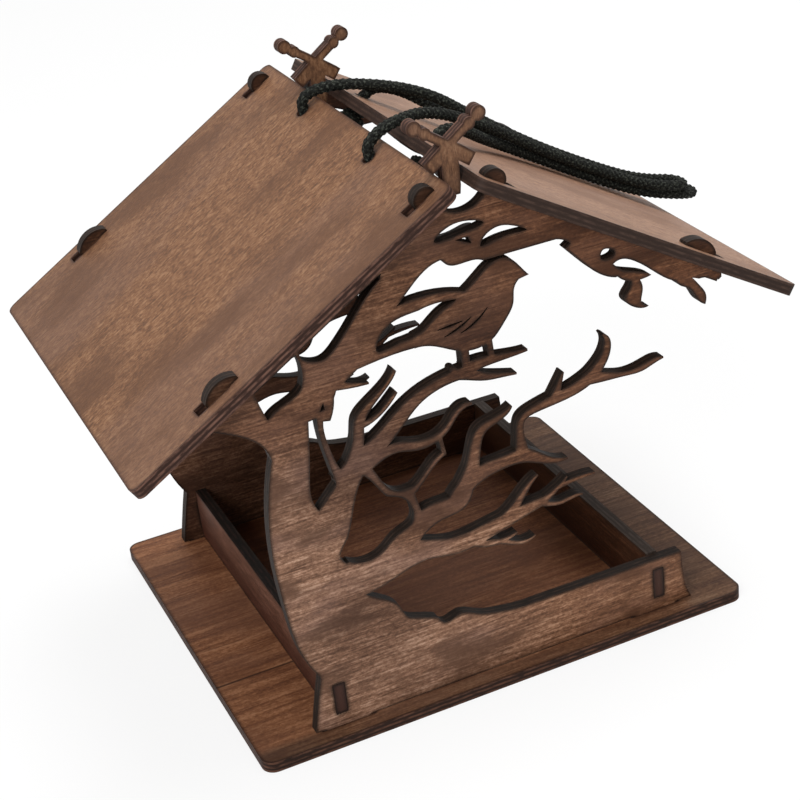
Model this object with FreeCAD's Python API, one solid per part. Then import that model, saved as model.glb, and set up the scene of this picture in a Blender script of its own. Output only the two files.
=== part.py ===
"""Hanging bird feeder house of hooked and slotted plywood boards, with two cord loops.

Frame: millimetres, +Z up, origin at the middle of the underside of the base, front towards -Y.
Every board is one thickness of plywood. The gables hold a tree with a perched bird, the roof panels hook
over the gables and two keys in the ridge gap keep the roof from sliding off its hooks.
"""
import math
import os

import FreeCAD
import Part

V = FreeCAD.Vector

# Boards and fits
BOARD = 4.0
SLOT_FIT = 0.15
SEAT_GAP = 0.1

# Base
BASE_WIDTH = 180.0
BASE_DEPTH = 154.0
BASE_CORNER = 4.5
BASE_MARGIN = 6.5

# Roof: the slope is measured down from the upper arris at the ridge
ROOF_PITCH = math.radians(31.0)
ROOF_SLOPE = 127.5
ROOF_OVERHANG = 5.5
ROOF_CORNER = 3.0
RIDGE_HEIGHT = 178.9

# Gables
RAFTER_DEPTH = 3.6
RAFTER_END = 100.0
SADDLE_WIDTH = 16.0
SADDLE_DROP = 10.7
FOOT_TENON_PLACE = 58.0
FOOT_TENON_LENGTH = 16.0
MORTISE_END_SLACK = 1.8
MORTISE_SIDE_SLACK = 0.35

# Hooks on the gables: head end and head length down the slope, and the travel that frees the nose
HOOK_TRAVEL = 3.5
HOOK_HEIGHT = 3.7
HOOK_LIP = 0.9
LOW_HOOK_END = 95.0
LOW_HOOK_LENGTH = 12.5
TOP_HOOK_END = 11.4
TOP_HOOK_LENGTH = 7.6

# Tray rails
RAIL_PLACE = 59.8
RAIL_TOP = 24.5
RAIL_TENON_BOTTOM = 8.5
RAIL_TENON_HEIGHT = 11.4

# Ridge keys: margins from the front and rear edges of the roof, drop and rise from the ridge arris
KEY_FRONT_MARGIN = 12.6
KEY_REAR_MARGIN = 35.4
KEY_STEM_WIDTH = 5.4
KEY_STEM_END_WIDTH = 4.6
KEY_STEM_FIT = 0.1
KEY_STEM_DROP = 7.3
KEY_CROSSING_RISE = 8.3
KEY_BALL_OUT = 10.5
KEY_BALL_UP = 7.5
KEY_BALL_DIAMETER = 4.7
KEY_RING_DIAMETER = 3.9
KEY_RING_DROP = 4.1
KEY_NECK_WIDTH = 2.0
KEY_ARM_WIDTH = 2.8
KEY_FOOT_OUT = 7.2
KEY_FOOT_DOWN = 5.9
KEY_FOOT_WIDTH = 4.4
KEY_WAIST_WIDTH = 9.0

# Cords
CORD_DIAMETER = 4.0
CORD_HOLE_DIAMETER = 4.8
CORD_HOLE_DROP = 7.0
CORD_HOLE_MARGIN = 48.0
KNOT_DIAMETER = 9.4
KNOT_TURNS = 3
KNOT_TAIL = 4.0
KNOT_GAP = 0.2

COS = math.cos(ROOF_PITCH)
SIN = math.sin(ROOF_PITCH)
RIDGE_REACH = KEY_STEM_WIDTH / 2 + KEY_STEM_FIT + BOARD * SIN
GABLE_SPAN = BASE_DEPTH - 2 * BASE_MARGIN
ROOF_DEPTH = GABLE_SPAN + 2 * ROOF_OVERHANG
GABLE_FRONT = GABLE_SPAN / 2
GABLE_BACK = GABLE_FRONT - BOARD
GABLE_TOP = -BOARD - SEAT_GAP
SADDLE_HEIGHT = RIDGE_HEIGHT - SADDLE_DROP
KEY_FRONT_Y = KEY_FRONT_MARGIN - ROOF_DEPTH / 2
KEY_REAR_Y = ROOF_DEPTH / 2 - KEY_REAR_MARGIN
KEY_STEM_BOTTOM = RIDGE_HEIGHT - KEY_STEM_DROP
KEY_CROSSING = RIDGE_HEIGHT + KEY_CROSSING_RISE
CORD_HOLE_Y = ROOF_DEPTH / 2 - CORD_HOLE_MARGIN

# The tree is drawn for a floor at 4, a ridge at 178.9 and rafters 100 long, and follows these sizes.
TREE_REACH = RAFTER_END / 100.0
TREE_RISE = (RIDGE_HEIGHT - BOARD) / 174.9

# The cords are drawn for cord 3.5 thick, a roof slope of 127.5 and holes at 28 from the middle.
CORD_SCALE = CORD_DIAMETER / 3.5
CORD_REACH = ROOF_SLOPE / 127.5
CORD_SPREAD = CORD_HOLE_Y / 28.0


def slope(side, down, lift):
    """Gives the point of the gable plane at a distance down one roof slope and a lift off its top face."""
    reach = RIDGE_REACH + down * COS + lift * SIN
    return V(side * reach, 0, RIDGE_HEIGHT - down * SIN + lift * COS)


def curve(points):
    """Gives a straight edge for two points and a smooth edge through more."""
    if len(points) == 2:
        return Part.makeLine(points[0], points[1])
    spline = Part.BSplineCurve()
    spline.interpolate(points)
    return spline.toShape()


def flat(pairs):
    """Turns pairs of X and Z into points of the gable plane."""
    return [V(x, 0, z) for x, z in pairs]


def drawn(pairs):
    """Turns places in the drawing of the tree into points of the gable plane."""
    return [V(x * TREE_REACH, 0, BOARD + (z - 4.0) * TREE_RISE) for x, z in pairs]


def outline(*stretches):
    """Gives a face whose edge is made of smooth stretches, each starting where the last one ended."""
    edges = []
    for number, stretch in enumerate(stretches):
        following = stretches[(number + 1) % len(stretches)]
        edges.append(curve(drawn(list(stretch) + [following[0]])))
    return Part.Face(Part.Wire(edges))


def blob(*pairs):
    """Gives a face with one smooth closed edge through the points."""
    spline = Part.BSplineCurve()
    spline.interpolate(Points=drawn(pairs), PeriodicFlag=True)
    return Part.Face(Part.Wire([spline.toShape()]))


def limb(points, widths):
    """Gives a tapered branch along a centre line, with its width at each point."""
    centre = drawn(points)
    left = []
    right = []
    for number, width in enumerate(widths):
        ahead = centre[min(number + 1, len(centre) - 1)]
        behind = centre[max(number - 1, 0)]
        along = (ahead - behind).normalize()
        across = V(-along.z, 0, along.x) * (width * TREE_REACH / 2)
        left.append(centre[number] + across)
        right.append(centre[number] - across)
    right.reverse()
    edges = [curve(left), curve([left[-1], right[0]]), curve(right), curve([right[-1], left[0]])]
    return Part.Face(Part.Wire(edges))


def disc(centre, diameter):
    """Gives a round face in the gable plane."""
    circle = Part.makeCircle(diameter / 2, centre, V(0, 1, 0))
    return Part.Face(Part.Wire([circle]))


def patch(points):
    """Gives a straight-sided face through points of the gable plane."""
    return Part.Face(Part.makePolygon(points + [points[0]]))


def bar(start, end, start_width, end_width):
    """Gives a straight tapered face between two points of the gable plane."""
    along = (end - start).normalize()
    across = V(-along.z, 0, along.x)
    return patch([start + across * (start_width / 2), end + across * (end_width / 2),
                  end - across * (end_width / 2), start - across * (start_width / 2)])


def board_of(faces):
    """Makes one board of overlapping faces of the gable plane, with its front in that plane."""
    boards = [face.extrude(V(0, BOARD, 0)) for face in faces]
    return boards[0].multiFuse(boards[1:]).removeSplitter()


def through(faces):
    """Gives the cutters of holes that go right through a board in the gable plane."""
    cutters = []
    for face in faces:
        cutter = face.extrude(V(0, 3 * BOARD, 0))
        cutter.translate(V(0, -BOARD, 0))
        cutters.append(cutter)
    return cutters


def placed(board, front):
    """Gives a copy of a board of the gable plane, with its front at the given Y."""
    copy = board.copy()
    copy.translate(V(0, front, 0))
    return copy


def box(low, high):
    """Gives a box between two corners."""
    return Part.makeBox(high[0] - low[0], high[1] - low[1], high[2] - low[2], V(*low))


def rounded_board(low, high, radius):
    """Gives a flat board whose upright edges are rounded."""
    board = box(low, high)
    upright = []
    for edge in board.Edges:
        start, end = (vertex.Point for vertex in edge.Vertexes)
        if abs(start.z - end.z) > BOARD / 2:
            upright.append(edge)
    return board.makeFillet(radius, upright)


# The tree, as it is cut in the gable. Places are X and Z on its front face.
def trunk():
    """Trunk with its left bough, the main bough and the low bar that closes the tray."""
    return outline(
        [(-69.6, 4), (-67.4, 15)],
        [(-65.2, 24.7), (-69.8, 34), (-73, 52), (-74.4, 75), (-72.9, 93)],
        [(-69.7, 106.5), (-71.9, 112), (-78, 117.4)],
        [(-86, 121.6)],
        [(-98, 128)],
        [(-73, 150)],
        [(-72.4, 132), (-70.2, 124)],
        [(-68.9, 120.1), (-65, 122.8), (-60, 124.9)],
        [(-57, 127.4), (-56.2, 131.5)],
        [(-61, 143)],
        [(-57, 141.5)],
        [(-56, 136.4), (-53, 134.6), (-49.5, 134.1), (-45, 137), (-38, 144.8)],
        [(-28.5, 154.3)],
        [(-22, 172)],
        [(-14, 158)],
        [(-25.5, 143.4)],
        [(-27, 132)],
        [(-36.5, 129.8), (-40.3, 127)],
        [(-46.3, 123.8), (-50, 118)],
        [(-56.6, 115.6), (-57.3, 109), (-58.3, 100), (-59.2, 90)],
        [(-57.5, 84.8), (-52.5, 90)],
        [(-47, 95.5)],
        [(-42, 91.5), (-46.2, 82), (-49.5, 72)],
        [(-53, 66.5), (-51, 63)],
        [(-45, 61)],
        [(-40, 56)],
        [(-46.8, 49.9), (-40, 45.3), (-35.4, 41), (-33.5, 36.5), (-28, 33.6)],
        [(-22.5, 31.3), (-20, 28.7), (-15, 30), (-8, 27.5), (0, 25.3)],
        [(12, 24.2)],
        [(69.2, 23.8), (69.6, 17), (70.2, 11)],
        [(72.6, 4)],
    )


def crown():
    """Mass of the crown under both roof slopes, out to the right eave."""
    return outline(
        [(-25.5, 143.4), (-19.8, 148.3), (-14, 153)],
        [(-8.3, 154.9), (-5.5, 152.2), (0, 152)],
        [(5, 151)],
        [(30, 151), (33.4, 149.6)],
        [(35, 148.3)],
        [(33, 147)],
        [(35, 144.8), (40, 139.3), (45, 134.9)],
        [(50, 132.6)],
        [(53, 134), (51, 135.6)],
        [(49.3, 137.4), (52, 138.2), (56.5, 136.5), (64.5, 130)],
        [(71.5, 125.2), (76, 125)],
        [(80, 123.6), (84.5, 122.8)],
        [(87.4, 121.2)],
        [(97, 128)],
        [(0, 192)],
        [(-30, 174)],
        [(-27, 156)],
    )


def leaves():
    """Drooping leaves at the right end of the crown."""
    return [
        outline([(49, 136.5), (54.5, 133.6), (58.5, 132.2)], [(62.7, 129.9), (58, 129.4), (54, 130.2)]),
        outline([(55.5, 131), (54.8, 127.5), (52.8, 124.4), (55, 121.2)],
                [(61.2, 119.6), (58.6, 122.2), (59.3, 125.5), (58, 130)]),
        outline([(71.5, 127), (73, 123.2), (76.6, 120.9), (78.8, 117.2)],
                [(82.1, 114), (82.3, 118), (80, 121.6), (76, 126)]),
    ]


def bird():
    """Perched bird, facing right, with its two legs."""
    body = outline(
        [(-20, 132.7), (-10, 138.6), (-1, 143.2), (4, 147), (9, 149.8), (13.5, 149.4), (17, 146)],
        [(20, 142.2)],
        [(16.5, 141.6), (14.5, 138.5), (14, 134.5), (10.5, 129), (5.8, 124.3), (-4, 123.2), (-13, 127.5)],
        [(-20, 129)],
    )
    return [body, limb([(-3.7, 125), (-3.7, 117)], [2.7, 2.7]), limb([(4.6, 126), (5.2, 117)], [2, 2])]


def boughs():
    """Boughs and twigs, each a centre line and its widths."""
    return [
        # Lowest limb and its twigs
        limb([(-54, 56), (-38, 58), (-24, 58.3), (-14, 56.2), (-4, 57.3), (8, 59.8), (19.5, 61.8)],
             [11, 13.5, 7.5, 6.4, 6.2, 5, 3]),
        limb([(3, 59.5), (10, 65), (13.5, 69), (17.3, 72)], [4, 3, 2, 0.7]),
        limb([(17.5, 61.4), (23, 64), (27.8, 67.8)], [3, 1.8, 0.7]),
        limb([(24.5, 65), (31, 65.8), (38, 65.8)], [1.6, 1.4, 0.7]),
        limb([(17.5, 61.4), (21, 59.7), (25, 58.9), (29, 59.5), (33, 59.4)], [2.6, 1.6, 1.3, 1.2, 0.6]),
        limb([(-7, 55), (0, 52.2), (4, 52.2), (8.3, 53.3)], [3, 2, 1.5, 0.6]),
        limb([(-3, 52.8), (5, 50.6), (9.5, 49), (14.6, 49.9)], [2.5, 1.6, 1.3, 0.6]),
        # Second limb, which carries the middle of the tree
        limb([(-44, 58), (-36, 62), (-28, 66.5), (-20, 70.4), (-13, 71.2), (-7, 75.8)],
             [12, 12, 9, 7.5, 7, 4.4]),
        limb([(-11, 71), (-8, 76.5), (-5.3, 82), (-3.2, 90), (-1, 94.3), (4, 96.4), (10.3, 99.6)],
             [5, 6.5, 5, 3.8, 3.6, 2.6, 0.7]),
        limb([(-12, 72.5), (-6, 77.8), (-1, 79.7), (6, 80.6), (13, 80.6), (20, 77), (28.5, 74.5)],
             [6, 6, 5.4, 4.6, 5, 3.2, 0.7]),
        limb([(12, 80), (12.4, 88), (13.8, 94), (18, 95.8), (25, 97), (32, 98.3), (39, 101)],
             [6, 3, 2.6, 2.8, 3.6, 4.2, 4.4]),
        limb([(36, 100.2), (44, 99.4), (51, 98.2), (58, 98.4), (62, 99.5), (65.7, 99.8)],
             [3.5, 3.2, 1.6, 2.2, 1.9, 0.6]),
        limb([(25, 96.5), (27.3, 101.5), (29.2, 105.7)], [4, 2.2, 0.6]),
        limb([(37.5, 100), (42.8, 104.5), (45.2, 108.5), (45.6, 112), (44.1, 114.5)],
             [4.2, 3.6, 2.8, 2, 0.7]),
        # Riser between the second limb and the perch limb, with its twigs
        limb([(-25.5, 67), (-27.4, 76), (-28.5, 82)], [6, 5.1, 5]),
        limb([(-28, 80.5), (-34.1, 83), (-37.9, 89.1), (-42, 94.5)], [4, 2.7, 2.7, 4]),
        limb([(-29, 80), (-24.2, 82.3), (-18.2, 88.2), (-14.1, 90.6)], [4, 2, 1.8, 1.4]),
        limb([(-14.2, 90), (-14.6, 93), (-15.2, 97)], [1.4, 1.3, 1.6]),
        limb([(-45, 93.5), (-37, 95.8), (-30, 97.8), (-24, 96.4), (-17.5, 96.3), (-12.3, 99), (-9, 102.8),
              (-3.2, 104.9)],
             [6, 3.4, 3.6, 3.4, 2.6, 2.1, 2, 1.1]),
        # Perch limb under the bird
        limb([(-49, 91), (-40, 98.5), (-33, 102.8), (-27.5, 107.5), (-21, 112.2), (-12, 115.3), (-3, 116)],
             [8, 6.5, 6, 5.4, 4.2, 3.7, 4.4]),
        limb([(-5, 116.5), (4, 117.6), (10, 117.3), (17.4, 117.2)], [4, 3.2, 2, 0.8]),
        limb([(-8, 115.6), (-3, 114.6), (2, 112.6), (7, 111.4), (13, 110.3)], [2.5, 3.4, 2.8, 1.8, 0.7]),
        blob((-9.4, 117.4), (-8, 118.9), (-6.6, 117.6), (-8, 116.3)),
        # Twigs inside the left opening
        limb([(-48, 92), (-43.3, 100), (-41.5, 105.5), (-40.6, 110.5), (-37, 114.7), (-27.3, 124)],
             [6, 4.2, 3.7, 3.6, 2.6, 1.4]),
        limb([(-41, 109), (-34.2, 110.8), (-31, 113.2), (-27.6, 116.6)], [2.6, 1.5, 1.5, 1.1]),
        limb([(-48.5, 92), (-51, 99.5), (-52.2, 105), (-53, 110.5), (-52.6, 117)],
             [4.5, 2.2, 1.9, 1.7, 2.6]),
        limb([(-50.5, 122), (-50.3, 117.5), (-51, 114)], [6, 4.2, 2.6]),
        limb([(-49, 125.5), (-41, 123), (-36, 122.2)], [4, 1.6, 0.6]),
        # Two boughs behind the bird
        limb([(-36, 136.5), (-24, 141.5), (-15, 143.2), (-4, 142.1), (1, 140.6)], [9, 5.5, 3.7, 2.6, 2]),
        limb([(-44, 131), (-33, 130.7), (-24, 130.8), (-15, 131.2)], [8, 4.2, 3.2, 5]),
    ]


def openings():
    """Holes cut through the tree."""
    return [
        # Between the trunk and the riser
        blob((-42, 90.5), (-46.2, 82), (-49.5, 72), (-52.6, 66.5), (-47, 61.9), (-38, 63.5), (-33.8, 66.9),
             (-27.4, 70.3), (-30.2, 79.8), (-35.2, 82.2), (-39.2, 88.2)),
        # Between the two boughs behind the bird
        blob((-32.3, 133), (-28.8, 138.1), (-17, 140.9), (-5, 140.7), (-10, 138.6), (-17, 133.8),
             (-24, 132.5)),
        # Between the stub and the upright twig beside it
        outline([(-52.8, 117.6)], [(-51.2, 120.4)], [(-50.9, 118)]),
        # In the crown
        blob((-9.6, 162), (-6, 164.2), (0.5, 165), (6.5, 163), (0, 161.4)),
        outline([(-3.5, 159.9)], [(1, 159.8)], [(2, 157.4)]),
        blob((4.8, 156.4), (6.5, 158.6), (11, 160.4), (16.3, 159.2), (20.3, 157.1), (10, 156.4)),
        blob((45, 141.3), (46.6, 143.2), (50.3, 140.8), (46.3, 139.7)),
        # Three cuts that draw the wing
        limb([(-12, 132.7), (-8, 132.9), (-3.5, 133.4)], [0.3, 0.8, 0.3]),
        limb([(-10, 129.8), (-5, 131.4), (-0.5, 133.9)], [0.3, 0.8, 0.3]),
        limb([(-4.5, 129.5), (1, 131.9), (5.2, 135.5)], [0.3, 0.8, 0.3]),
    ]


def hook(side, end, length):
    """Hook that rises through a roof panel, with its nose towards the ridge."""
    nose = end - length
    neck = nose + HOOK_TRAVEL
    root = GABLE_TOP - RAFTER_DEPTH / 2
    tip = slope(side, nose, SEAT_GAP + HOOK_LIP)
    crest = slope(side, nose + 0.45 * length, HOOK_HEIGHT)
    heel = slope(side, end, HOOK_LIP)
    edges = [
        Part.makeLine(slope(side, end, root), slope(side, neck, root)),
        Part.makeLine(slope(side, neck, root), slope(side, neck, SEAT_GAP)),
        Part.makeLine(slope(side, neck, SEAT_GAP), slope(side, nose, SEAT_GAP)),
        Part.makeLine(slope(side, nose, SEAT_GAP), tip),
        Part.Arc(tip, crest, heel).toShape(),
        Part.makeLine(heel, slope(side, end, root)),
    ]
    return Part.Face(Part.Wire(edges))


def hook_slots():
    """Ranges down the slope of the roof slots: each lets the head of its hook through."""
    slots = []
    for end, length in ((TOP_HOOK_END, TOP_HOOK_LENGTH), (LOW_HOOK_END, LOW_HOOK_LENGTH)):
        upper = end - length + HOOK_TRAVEL - SLOT_FIT
        slots.append((upper, upper + length + 2 * SLOT_FIT))
    return slots


def tree_panel():
    """One gable board: the tree, trimmed under the roof, with rafters, hooks, tenons and rail slots."""
    eave = RAFTER_END
    half = SADDLE_WIDTH / 2
    saddle = (half - RIDGE_REACH - GABLE_TOP * SIN) / COS
    peaks = [slope(side, saddle, GABLE_TOP) for side in (-1, 1)]
    eaves = [slope(side, eave, GABLE_TOP) for side in (-1, 1)]
    dip = Part.Arc(peaks[0], V(0, 0, SADDLE_HEIGHT), peaks[1]).toShape()
    feet = [V(point.x, 0, 0) for point in eaves]
    walls = Part.makePolygon([peaks[1], eaves[1], feet[1], feet[0], eaves[0], peaks[0]])
    room = Part.Face(Part.Wire([dip] + walls.Edges))
    rafters = []
    for side in (-1, 1):
        low = GABLE_TOP - RAFTER_DEPTH
        rafters.append(patch([slope(side, saddle, GABLE_TOP), slope(side, eave, GABLE_TOP),
                              slope(side, eave, low), slope(side, saddle, low)]))
    tree = board_of([trunk(), crown()] + leaves() + bird() + boughs())
    tree = tree.common(through([room])[0])
    parts = rafters
    for side in (-1, 1):
        parts.append(hook(side, TOP_HOOK_END, TOP_HOOK_LENGTH))
        parts.append(hook(side, LOW_HOOK_END, LOW_HOOK_LENGTH))
        middle = side * FOOT_TENON_PLACE
        reach = FOOT_TENON_LENGTH / 2
        parts.append(patch(flat([(middle - reach, 0), (middle + reach, 0), (middle + reach, 2 * BOARD),
                                 (middle - reach, 2 * BOARD)])))
    panel = tree.fuse(board_of(parts)).removeSplitter()
    cuts = openings()
    for side in (-1, 1):
        reach = BOARD / 2 + SLOT_FIT
        middle = side * RAIL_PLACE
        low = RAIL_TENON_BOTTOM - SLOT_FIT
        high = RAIL_TENON_BOTTOM + RAIL_TENON_HEIGHT + SLOT_FIT
        cuts.append(patch(flat([(middle - reach, low), (middle + reach, low), (middle + reach, high),
                                (middle - reach, high)])))
    return panel.cut(through(cuts)).removeSplitter()


def base_plate():
    """Floor board with a mortise for each gable foot."""
    half = BASE_WIDTH / 2
    deep_half = BASE_DEPTH / 2
    board = rounded_board((-half, -deep_half, 0), (half, deep_half, BOARD), BASE_CORNER)
    reach = FOOT_TENON_LENGTH / 2 + MORTISE_END_SLACK
    deep = BOARD / 2 + MORTISE_SIDE_SLACK
    for side in (-1, 1):
        for row in (-1, 1):
            x = side * FOOT_TENON_PLACE
            y = row * (GABLE_FRONT + GABLE_BACK) / 2
            board = board.cut(box((x - reach, y - deep, -1), (x + reach, y + deep, BOARD + 1)))
    return board


def tray_rail(side):
    """Side wall of the tray, tenoned through both gables."""
    middle = side * RAIL_PLACE
    inside = GABLE_BACK - SEAT_GAP
    wall = box((middle - BOARD / 2, -inside, BOARD), (middle + BOARD / 2, inside, RAIL_TOP))
    tenon = box((middle - BOARD / 2, -GABLE_FRONT, RAIL_TENON_BOTTOM),
                (middle + BOARD / 2, GABLE_FRONT, RAIL_TENON_BOTTOM + RAIL_TENON_HEIGHT))
    return wall.fuse(tenon).removeSplitter()


def roof_panel():
    """Right roof panel, cut flat and then laid on its slope."""
    half = ROOF_DEPTH / 2
    board = rounded_board((0, -half, -BOARD), (ROOF_SLOPE, half, 0), ROOF_CORNER)
    wide = BOARD / 2 + SLOT_FIT
    for row in (-1, 1):
        y = row * (GABLE_FRONT + GABLE_BACK) / 2
        for start, end in hook_slots():
            board = board.cut(box((start, y - wide, -BOARD - 1), (end, y + wide, 1)))
        low = V(CORD_HOLE_DROP, row * CORD_HOLE_Y, -BOARD - 1)
        hole = Part.makeCylinder(CORD_HOLE_DIAMETER / 2, BOARD + 2, low)
        board = board.cut(hole)
    board.rotate(V(0, 0, 0), V(0, 1, 0), math.degrees(ROOF_PITCH))
    board.translate(V(RIDGE_REACH, 0, RIDGE_HEIGHT))
    return board


def ridge_key():
    """Ridge key: a stem, two feet and two crossed arms that end in balls."""
    top = KEY_CROSSING
    half = KEY_STEM_WIDTH / 2
    end = KEY_STEM_END_WIDTH / 2
    low = KEY_STEM_BOTTOM
    gap = RIDGE_HEIGHT - BOARD * COS - SEAT_GAP
    stem = [(-half, top), (-half, gap - 1), (-end, low), (end, low), (half, gap - 1), (half, top)]
    parts = [patch(flat(stem)),
             bar(V(0, 0, top - KEY_WAIST_WIDTH / 2), V(0, 0, top + 1), KEY_WAIST_WIDTH, KEY_ARM_WIDTH)]
    share = 1 - KEY_RING_DROP / math.hypot(KEY_BALL_OUT, KEY_BALL_UP)
    for side in (-1, 1):
        ball = V(side * KEY_BALL_OUT, 0, top + KEY_BALL_UP)
        ring = V(side * KEY_BALL_OUT * share, 0, top + KEY_BALL_UP * share)
        foot = V(side * KEY_FOOT_OUT, 0, top - KEY_FOOT_DOWN)
        root = V(-side * KEY_ARM_WIDTH / 2, 0, top - KEY_ARM_WIDTH / 3)
        parts.append(bar(root, ring, KEY_ARM_WIDTH, KEY_ARM_WIDTH))
        parts.append(bar(ring, ball, KEY_NECK_WIDTH, KEY_NECK_WIDTH))
        parts.append(disc(ball, KEY_BALL_DIAMETER))
        parts.append(disc(ring, KEY_RING_DIAMETER))
        parts.append(bar(V(0, 0, top - KEY_ARM_WIDTH / 5), foot, KEY_FOOT_WIDTH, KEY_FOOT_WIDTH))
    return board_of(parts)


def right_slope(down, y, lift):
    """Gives a point of a cord over the right roof panel."""
    point = slope(1, down * CORD_REACH, lift * CORD_SCALE)
    return V(point.x, y * CORD_SPREAD, point.z)


def over_ridge(x, y, rise):
    """Gives a point of a cord over the ridge."""
    return V(x * CORD_SCALE, y * CORD_SPREAD, RIDGE_HEIGHT + rise * CORD_SCALE)


def cord_foot(side, row, lift):
    """Gives a point on the axis of a cord hole, in the rear row or in the front row."""
    point = slope(side, CORD_HOLE_DROP, lift)
    return V(point.x, row * CORD_HOLE_Y, point.z)


# Both loops lie over to the right, the left one on top, with their ends past the right eave.
KNOT_LIFT = -BOARD - KNOT_GAP
LEFT_ROUTE = [
    cord_foot(-1, 1, KNOT_LIFT), cord_foot(-1, 1, 2.0 * CORD_SCALE),
    over_ridge(-6.6, 27.5, 2.7), over_ridge(5.0, 25.0, 3.0),
    right_slope(24, 20.4, 8.5), right_slope(46, 17, 7.3), right_slope(68, 14.4, 6.1),
    right_slope(90, 14, 6.0), right_slope(108, 14, 6.9), right_slope(120, 14, 8.8),
    right_slope(131.5, 14, 11.0), right_slope(131.5, 6, 11.0),
    right_slope(120, 6, 8.8), right_slope(108, 6, 6.9), right_slope(90, 6, 6.0),
    right_slope(68, 5.2, 6.1), right_slope(48, 0, 7.0), right_slope(30, -9, 8.0),
    over_ridge(13, -18, 2.6), over_ridge(0, -25, 4.2), over_ridge(-7.2, -27.7, 2.6),
    cord_foot(-1, -1, 2.0 * CORD_SCALE), cord_foot(-1, -1, KNOT_LIFT),
]
RIGHT_ROUTE = [
    cord_foot(1, 1, KNOT_LIFT), cord_foot(1, 1, 3.0 * CORD_SCALE),
    right_slope(18, 27.4, 5.9), right_slope(32, 23.8, 4.6), right_slope(50, 17.6, 3.1),
    right_slope(70, 14.2, 2.25), right_slope(92, 14, 2.15), right_slope(112, 14, 2.8),
    right_slope(125, 14, 5.0), right_slope(137.5, 14, 8.3), right_slope(137.5, 6, 8.3),
    right_slope(125, 6, 5.0), right_slope(112, 6, 2.8), right_slope(92, 6, 2.15),
    right_slope(70, 5.4, 2.25), right_slope(50, 0.5, 2.7), right_slope(33, -11, 3.7),
    right_slope(18, -23, 5.4), cord_foot(1, -1, 3.4 * CORD_SCALE), cord_foot(1, -1, KNOT_LIFT),
]


def cord(name, route):
    """Tube along a route: straight runs joined by the largest arcs that the runs allow."""
    edges = []
    here = route[0]
    radii = []
    for number in range(1, len(route) - 1):
        before, corner, after = route[number - 1:number + 2]
        back = (before - corner).normalize()
        on = (after - corner).normalize()
        turn = math.pi - back.getAngle(on)
        run = min((corner - before).Length, (after - corner).Length)
        set_back = 0.45 * run
        radius = set_back / math.tan(turn / 2)
        radii.append(radius)
        start = corner + back * set_back
        finish = corner + on * set_back
        middle_way = (back + on).normalize()
        middle = corner + middle_way * (radius / math.cos(turn / 2) - radius)
        edges.append(Part.makeLine(here, start))
        edges.append(Part.Arc(start, middle, finish).toShape())
        here = finish
    edges.append(Part.makeLine(here, route[-1]))
    path = Part.Wire(edges)
    ring = Part.makeCircle(CORD_DIAMETER / 2, route[0], route[1] - route[0])
    tube = path.makePipeShell([Part.Wire([ring])], True, False)
    share = tube.Volume / (path.Length * math.pi * CORD_DIAMETER ** 2 / 4)
    print(name, "length %.1f mm, volume share %.4f" % (path.Length, share))
    print(name, "radii", " ".join("%.1f" % radius for radius in radii))
    return tube


def knots(side):
    """Two stopper knots under one roof panel, each a stack of turns with a short tail."""
    turn = CORD_DIAMETER * 0.8
    middle = (KNOT_DIAMETER - turn) / 2
    profile = [Part.makeLine(V(0, 0, 0), V(middle, 0, 0))]
    for number in range(KNOT_TURNS):
        top = -number * turn
        bulge = V(middle + turn / 2, 0, top - turn / 2)
        profile.append(Part.Arc(V(middle, 0, top), bulge, V(middle, 0, top - turn)).toShape())
    low = -KNOT_TURNS * turn
    tail = CORD_DIAMETER / 2
    profile.append(Part.makeLine(V(middle, 0, low), V(tail, 0, low)))
    profile.append(Part.makeLine(V(tail, 0, low), V(tail, 0, low - KNOT_TAIL)))
    profile.append(Part.makeLine(V(tail, 0, low - KNOT_TAIL), V(0, 0, low - KNOT_TAIL)))
    profile.append(Part.makeLine(V(0, 0, low - KNOT_TAIL), V(0, 0, 0)))
    solid = Part.Face(Part.Wire(profile)).revolve(V(0, 0, 0), V(0, 0, 1), 360)
    pair = []
    for row in (-1, 1):
        one = Part.Solid(solid.Shells[0]) if solid.ShapeType != "Solid" else solid.copy()
        one.rotate(V(0, 0, 0), V(0, 1, 0), side * math.degrees(ROOF_PITCH))
        one.translate(cord_foot(side, row, KNOT_LIFT))
        pair.append(one)
    return Part.makeCompound(pair)


def main():
    """Builds every node and writes it out."""
    gable = tree_panel()
    key = ridge_key()
    right = roof_panel()
    nodes = {
        "base_plate": base_plate(),
        "front_tree_panel": placed(gable, -GABLE_FRONT),
        "rear_tree_panel": placed(gable, GABLE_BACK),
        "left_tray_rail": tray_rail(-1),
        "right_tray_rail": tray_rail(1),
        "left_roof_panel": right.mirror(V(0, 0, 0), V(1, 0, 0)),
        "right_roof_panel": right,
        "front_ridge_key": placed(key, KEY_FRONT_Y - BOARD / 2),
        "rear_ridge_key": placed(key, KEY_REAR_Y - BOARD / 2),
        "left_cord": cord("left_cord", LEFT_ROUTE),
        "right_cord": cord("right_cord", RIGHT_ROUTE),
        "left_cord_knots": knots(-1),
        "right_cord_knots": knots(1),
    }
    os.makedirs("parts", exist_ok=True)
    for name, shape in nodes.items():
        print(name, len(shape.Solids), "solids, valid", shape.isValid(), "volume %.1f" % shape.Volume)
        shape.exportStep("parts/" + name + ".step")


main()
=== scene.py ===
"""Dress the hanging bird feeder house: stained plywood boards and two loops of black braided cord.

The boards keep their shapes from the frame and get stained plywood with scorched cut edges. The cords
and their stopper knots are braided meshes that follow smooth splines. Lengths are metres, +Z is up and
-Y is the front.
"""

import logging
import math
from dataclasses import dataclass, field
from enum import Enum
from typing import Any

import bpy
from mathutils import Matrix, Vector


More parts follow.
